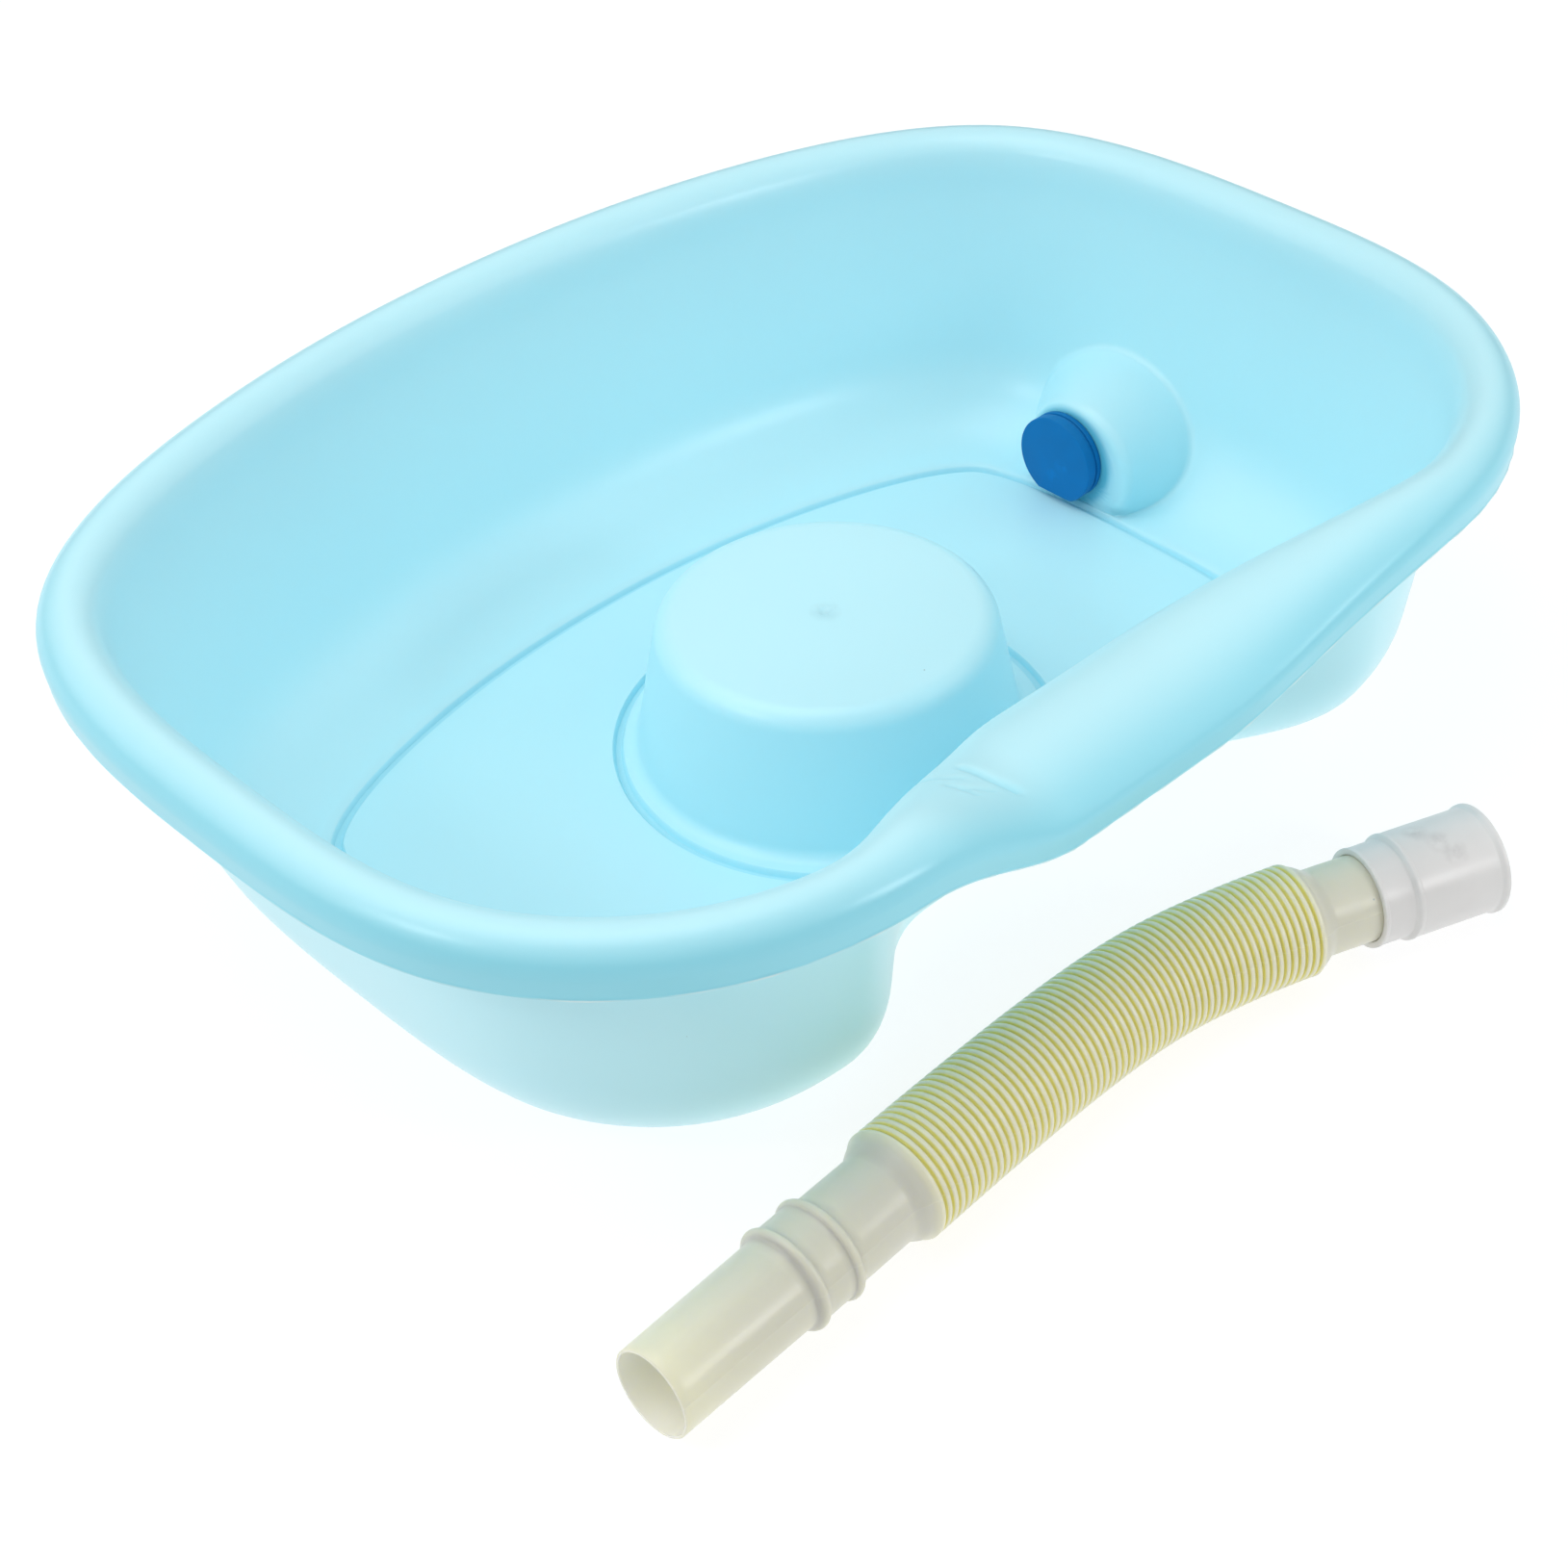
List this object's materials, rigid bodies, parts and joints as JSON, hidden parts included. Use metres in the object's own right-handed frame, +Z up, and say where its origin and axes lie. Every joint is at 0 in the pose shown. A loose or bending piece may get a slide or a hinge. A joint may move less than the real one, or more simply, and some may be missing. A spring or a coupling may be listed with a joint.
{
  "type": "shampoo basin",
  "caption": "Portable shampoo basin with a lowered neck rest, a raised head pedestal, a side drain with a stopper, and a loose ribbed drain hose with a coupling.",
  "frame": {"origin": "on the table, below the middle of the basin's outer box", "axes": "+X towards the drain end, +Y away from the neck rest, +Z up"},
  "size_m": [0.58, 0.5032, 0.1415],
  "materials": {
    "basin_cyan": "glossy moulded polypropylene",
    "plug_blue": "smooth rubber",
    "hose_cream": "satin blow-moulded polyethylene",
    "coupling_milky": "milky soft plastic"
  },
  "bodies": {
    "basin": {"basin_shell": "basin_cyan"},
    "plug": {"drain_plug": "plug_blue"},
    "hose": {"drain_hose": "hose_cream"},
    "coupling": {"hose_coupling": "coupling_milky"}
  },
  "joints": [
    {"name": "plug_slide", "type": "slide", "parent": "basin", "child": "plug", "axis": [-1, 0, 0], "range_m": [0, 0.03]},
    {"name": "hose_away", "type": "slide", "parent": "basin", "child": "hose", "axis": [0, -1, 0], "range_m": [0, 0.15]},
    {"name": "coupling_slide", "type": "slide", "parent": "hose", "child": "coupling", "axis": [0.9372, -0.3488, 0], "range_m": [0, 0.03]}
  ]
}
